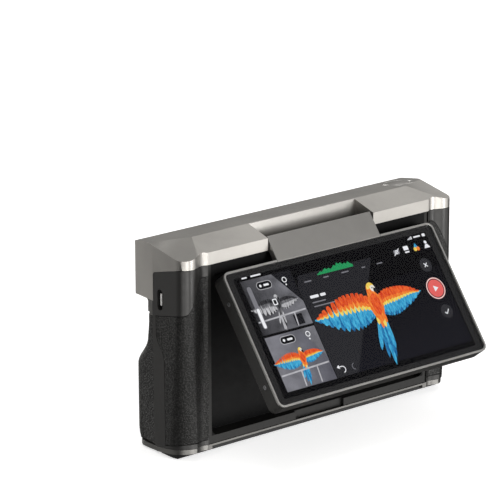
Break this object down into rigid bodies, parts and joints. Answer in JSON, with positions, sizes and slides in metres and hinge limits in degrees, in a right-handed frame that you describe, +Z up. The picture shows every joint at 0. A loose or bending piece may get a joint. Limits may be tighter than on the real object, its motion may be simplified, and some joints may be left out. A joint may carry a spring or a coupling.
{
  "type": "handheld 3d scanner",
  "caption": "Handheld 3D scanner: metal sensor bar with a glass window over cameras and lights, two rubber grips and a hinged touch screen.",
  "frame": {"origin": "centre of the resting face of the base, under the middle of the body", "axes": "+X towards the operator's right, +Y the way the sensors look, +Z up; the screen faces -Y"},
  "size_m": [0.1964, 0.0973, 0.118],
  "materials": {
    "head_metal": "satin anodised titanium grey, fine bead-blast grain",
    "bezel_metal": "satin, bright edges",
    "window_glass": "polished",
    "window_black": "black print behind glass",
    "hood_black": "stepped, satin black",
    "projector_glass": "coated lens",
    "inner_black": "matte",
    "bench_aluminium": "milled",
    "camera_ring": "anodised grey",
    "lens_yellow": "coated lens",
    "camera_black": "satin",
    "lens_green": "coated lens",
    "lens_dark": "coated lens",
    "board_green": "solder mask",
    "light_white": "diffusing dome",
    "shell_dark": "fine texture",
    "cover_grey": "smooth satin",
    "panel_dark": "smooth satin",
    "grip_rubber": "fine pebbled soft-touch",
    "base_black": "fine texture",
    "trim_metal": "satin",
    "screw_steel": "machined",
    "brass_insert": "turned",
    "cell_wrap": "shrink wrap",
    "socket_steel": "stamped",
    "tongue_light": "moulded",
    "button_metal": "satin",
    "ring_bright": "polished chamfer",
    "button_light": "satin",
    "bracket_steel": "stamped",
    "pin_steel": "ground",
    "plate_metal": "satin anodised",
    "housing_dark": "dark anodised",
    "rim_metal": "polished chamfer",
    "screen_black": "polished cover glass",
    "display": "lit panel",
    "screw_black": "blackened"
  },
  "bodies": {
    "body": {"head_shell": "head_metal", "window_bezel": "bezel_metal", "window_glass": "window_glass", "window_mask": "window_black", "projector_hood": "hood_black", "projector_lens": "projector_glass", "projector_module": "inner_black", "optical_bench": "bench_aluminium", "far_camera_barrels": "camera_ring", "far_camera_lenses": "lens_yellow", "near_camera_barrels": "camera_black", "near_camera_lenses": "lens_green", "colour_camera_barrel": "camera_black", "colour_camera_lens": "lens_dark", "light_boards": "board_green", "light_domes": "light_white", "rear_shell": "shell_dark", "front_cover": "cover_grey", "side_panel_right": "panel_dark", "side_panel_left": "panel_dark", "front_grip_right": "grip_rubber", "front_grip_left": "grip_rubber", "rear_grip_right": "grip_rubber", "rear_grip_left": "grip_rubber", "base_plate": "base_black", "base_trim": "trim_metal", "base_screws": "screw_steel", "tripod_insert": "brass_insert", "battery_right": "cell_wrap", "battery_left": "cell_wrap", "mainboard": "board_green", "heat_spreader": "bench_aluminium", "usb_shell": "socket_steel", "usb_tongue": "tongue_light", "scan_ring": "ring_bright", "scan_switch": "inner_black", "power_switch": "inner_black", "hinge_brackets": "bracket_steel", "hinge_pins": "pin_steel"},
    "screen": {"hinge_plate": "plate_metal", "screen_housing": "housing_dark", "screen_rim": "rim_metal", "screen_glass": "screen_black", "display_panel": "display", "screen_board": "board_green", "screen_side_screws": "screw_black"},
    "scan_key": {"scan_button": "button_metal"},
    "power_key": {"power_button": "button_light"}
  },
  "joints": [
    {"name": "screen_hinge", "type": "hinge", "parent": "body", "child": "screen", "pos_m": [0, -0.0145, 0.1088], "axis": [-1, 0, 0], "range_deg": [-36.5, 143.5]},
    {"name": "scan_press", "type": "slide", "parent": "body", "child": "scan_key", "axis": [0, -0.1426, -0.9898], "range_m": [0, 0.0008], "stiffness_N_per_m": 2000},
    {"name": "power_press", "type": "slide", "parent": "body", "child": "power_key", "axis": [-1, 0, 0], "range_m": [0, 0.0006], "stiffness_N_per_m": 2000}
  ]
}
